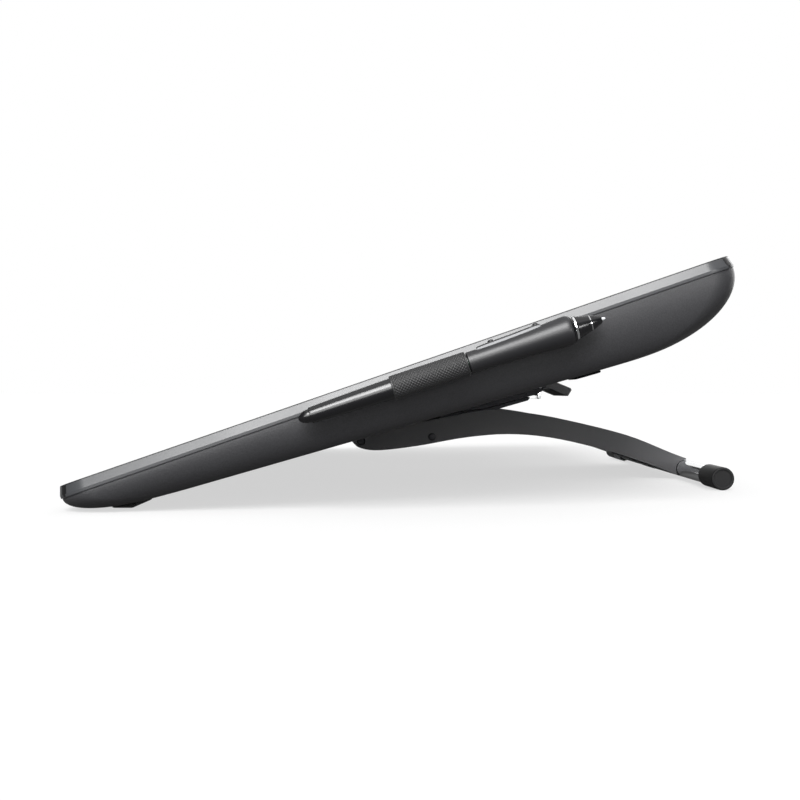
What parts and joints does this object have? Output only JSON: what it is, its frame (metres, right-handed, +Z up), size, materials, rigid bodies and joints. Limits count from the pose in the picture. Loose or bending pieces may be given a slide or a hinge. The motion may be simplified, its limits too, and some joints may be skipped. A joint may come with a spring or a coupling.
{
  "type": "pen display tablet",
  "caption": "Slim slab-shaped pen display on a bow-shaped folding stand with a round foot bar; its pen sits in a knurled holder on the right side.",
  "frame": {"origin": "middle of the footprint, on the surface that the tablet stands on", "axes": "+X to the user's right, +Y away from the user, +Z up; the screen slopes 19.05 degrees about X"},
  "size_m": [0.6672, 0.4182, 0.1431],
  "materials": {
    "bezel_plastic": "fine satin moulded plastic",
    "housing_plastic": "fine matte moulded plastic",
    "screen_glass": "etched anti-glare glass, dark when off",
    "lcd_panel": "dark panel",
    "backlight": "white frame",
    "circuit_board": "coated board",
    "zinc_steel": "zinc plated",
    "dark_steel": "black oxide",
    "leg_coating": "fine textured powder coat",
    "lever_plastic": "moulded plastic",
    "chrome": "polished",
    "rubber": "moulded rubber",
    "key_plastic": "satin moulded plastic",
    "holder_rubber": "diamond knurled rubber",
    "pen_gloss": "polished plastic",
    "pen_rubber": "satin soft-touch rubber",
    "nib_plastic": "plain nylon"
  },
  "bodies": {
    "display": {"backlight_unit": "backlight", "chassis_plate": "zinc_steel", "front_bezel": "bezel_plastic", "front_foot_left": "rubber", "front_foot_right": "rubber", "hinge_clutch": "zinc_steel", "lcd_panel": "lcd_panel", "left_key_board": "circuit_board", "lever_pin": "zinc_steel", "lever_spring": "zinc_steel", "main_board": "circuit_board", "mounting_plate": "dark_steel", "mounting_screw_1": "zinc_steel", "mounting_screw_2": "zinc_steel", "mounting_screw_3": "zinc_steel", "mounting_screw_4": "zinc_steel", "pen_holder": "holder_rubber", "pen_sensor_board": "circuit_board", "port_block": "key_plastic", "power_board": "circuit_board", "rear_housing": "housing_plastic", "rear_pad_left": "rubber", "rear_pad_right": "rubber", "release_cover": "dark_steel", "right_key_board": "circuit_board", "screen_glass": "screen_glass"},
    "stand": {"hinge_shaft": "zinc_steel", "leg_shell": "leg_coating", "leg_frame": "dark_steel", "foot_tube": "chrome", "foot_cap_left": "rubber", "foot_cap_right": "rubber", "leg_screw_left": "dark_steel", "leg_screw_right": "dark_steel", "cable_clip": "chrome"},
    "release_lever": {"release_lever": "lever_plastic", "release_catch": "chrome"},
    "release_rod": {"release_rod": "zinc_steel"},
    "pen": {"pen_barrel": "pen_gloss", "pen_grip": "pen_rubber", "pen_core": "circuit_board", "pen_nose_collar": "pen_gloss", "pen_nose_ring": "chrome", "pen_nose_cone": "pen_gloss"},
    "pen_side_switch": {"pen_side_switch": "key_plastic"},
    "pen_nib": {"pen_nib": "nib_plastic"},
    "pen_eraser": {"pen_eraser": "pen_gloss"},
    "power_button": {"power_button": "key_plastic"},
    "left_rocker": {"left_rocker": "key_plastic"},
    "right_rocker": {"right_rocker": "key_plastic"},
    "left_key_1": {"left_key_1": "key_plastic"},
    "left_key_2": {"left_key_2": "key_plastic"},
    "left_key_3": {"left_key_3": "key_plastic"},
    "left_key_4": {"left_key_4": "key_plastic"},
    "right_key_1": {"right_key_1": "key_plastic"},
    "right_key_2": {"right_key_2": "key_plastic"},
    "right_key_3": {"right_key_3": "key_plastic"},
    "right_key_4": {"right_key_4": "key_plastic"}
  },
  "joints": [
    {"name": "stand_hinge", "type": "hinge", "parent": "display", "child": "stand", "pos_m": [-0.00855, -0.04776, 0.02877], "axis": [-1, 0, 0], "range_deg": [-5, 62]},
    {"name": "release_lever_hinge", "type": "hinge", "parent": "display", "child": "release_lever", "pos_m": [-0.00855, 0.09252, 0.07103], "axis": [1, 0, 0], "range_deg": [0, 18], "stiffness_Nm_per_rad": 0.3, "springref_deg": -11.46},
    {"name": "release_rod_slide", "type": "slide", "parent": "display", "child": "release_rod", "axis": [0, 0.961, 0.2767], "range_m": [0, 0.0019]},
    {"name": "pen_slide", "type": "slide", "parent": "display", "child": "pen", "axis": [0, 0.9496, 0.3133], "range_m": [0, 0.1]},
    {"name": "pen_side_switch_rock", "type": "hinge", "parent": "pen", "child": "pen_side_switch", "pos_m": [0.32545, 0.04038, 0.09596], "axis": [1, 0, 0], "range_deg": [-2.5, 2.5], "stiffness_Nm_per_rad": 0.02},
    {"name": "pen_nib_press", "type": "slide", "parent": "pen", "child": "pen_nib", "axis": [0, -0.9496, -0.3133], "range_m": [0, 0.001], "stiffness_N_per_m": 600, "springref_m": -0.0005},
    {"name": "pen_eraser_press", "type": "slide", "parent": "pen", "child": "pen_eraser", "axis": [0, 0.9496, 0.3133], "range_m": [0, 0.001], "stiffness_N_per_m": 600, "springref_m": -0.0005},
    {"name": "left_rocker_tilt", "type": "hinge", "parent": "display", "child": "left_rocker", "pos_m": [-0.29255, -0.01101, 0.0785], "axis": [1, 0, 0], "range_deg": [-3, 3], "stiffness_Nm_per_rad": 0.1},
    {"name": "left_key_1_press", "type": "slide", "parent": "display", "child": "left_key_1", "axis": [0, 0.3264, -0.9452], "range_m": [0, 0.0008], "stiffness_N_per_m": 500, "springref_m": -0.0006},
    {"name": "left_key_2_press", "type": "slide", "parent": "display", "child": "left_key_2", "axis": [0, 0.3264, -0.9452], "range_m": [0, 0.0008], "stiffness_N_per_m": 500, "springref_m": -0.0006},
    {"name": "left_key_3_press", "type": "slide", "parent": "display", "child": "left_key_3", "axis": [0, 0.3264, -0.9452], "range_m": [0, 0.0008], "stiffness_N_per_m": 500, "springref_m": -0.0006},
    {"name": "left_key_4_press", "type": "slide", "parent": "display", "child": "left_key_4", "axis": [0, 0.3264, -0.9452], "range_m": [0, 0.0008], "stiffness_N_per_m": 500, "springref_m": -0.0006},
    {"name": "right_rocker_tilt", "type": "hinge", "parent": "display", "child": "right_rocker", "pos_m": [0.27545, -0.01101, 0.0785], "axis": [1, 0, 0], "range_deg": [-3, 3], "stiffness_Nm_per_rad": 0.1},
    {"name": "right_key_1_press", "type": "slide", "parent": "display", "child": "right_key_1", "axis": [0, 0.3264, -0.9452], "range_m": [0, 0.0008], "stiffness_N_per_m": 500, "springref_m": -0.0006},
    {"name": "right_key_2_press", "type": "slide", "parent": "display", "child": "right_key_2", "axis": [0, 0.3264, -0.9452], "range_m": [0, 0.0008], "stiffness_N_per_m": 500, "springref_m": -0.0006},
    {"name": "right_key_3_press", "type": "slide", "parent": "display", "child": "right_key_3", "axis": [0, 0.3264, -0.9452], "range_m": [0, 0.0008], "stiffness_N_per_m": 500, "springref_m": -0.0006},
    {"name": "right_key_4_press", "type": "slide", "parent": "display", "child": "right_key_4", "axis": [0, 0.3264, -0.9452], "range_m": [0, 0.0008], "stiffness_N_per_m": 500, "springref_m": -0.0006},
    {"name": "power_button_press", "type": "slide", "parent": "display", "child": "power_button", "axis": [0, 0.3264, -0.9452], "range_m": [0, 0.0006], "stiffness_N_per_m": 500, "springref_m": -0.0006}
  ],
  "couplings": [
    {"joint": "release_rod_slide", "follows": "release_lever_hinge", "m_per_rad": 0.006}
  ]
}
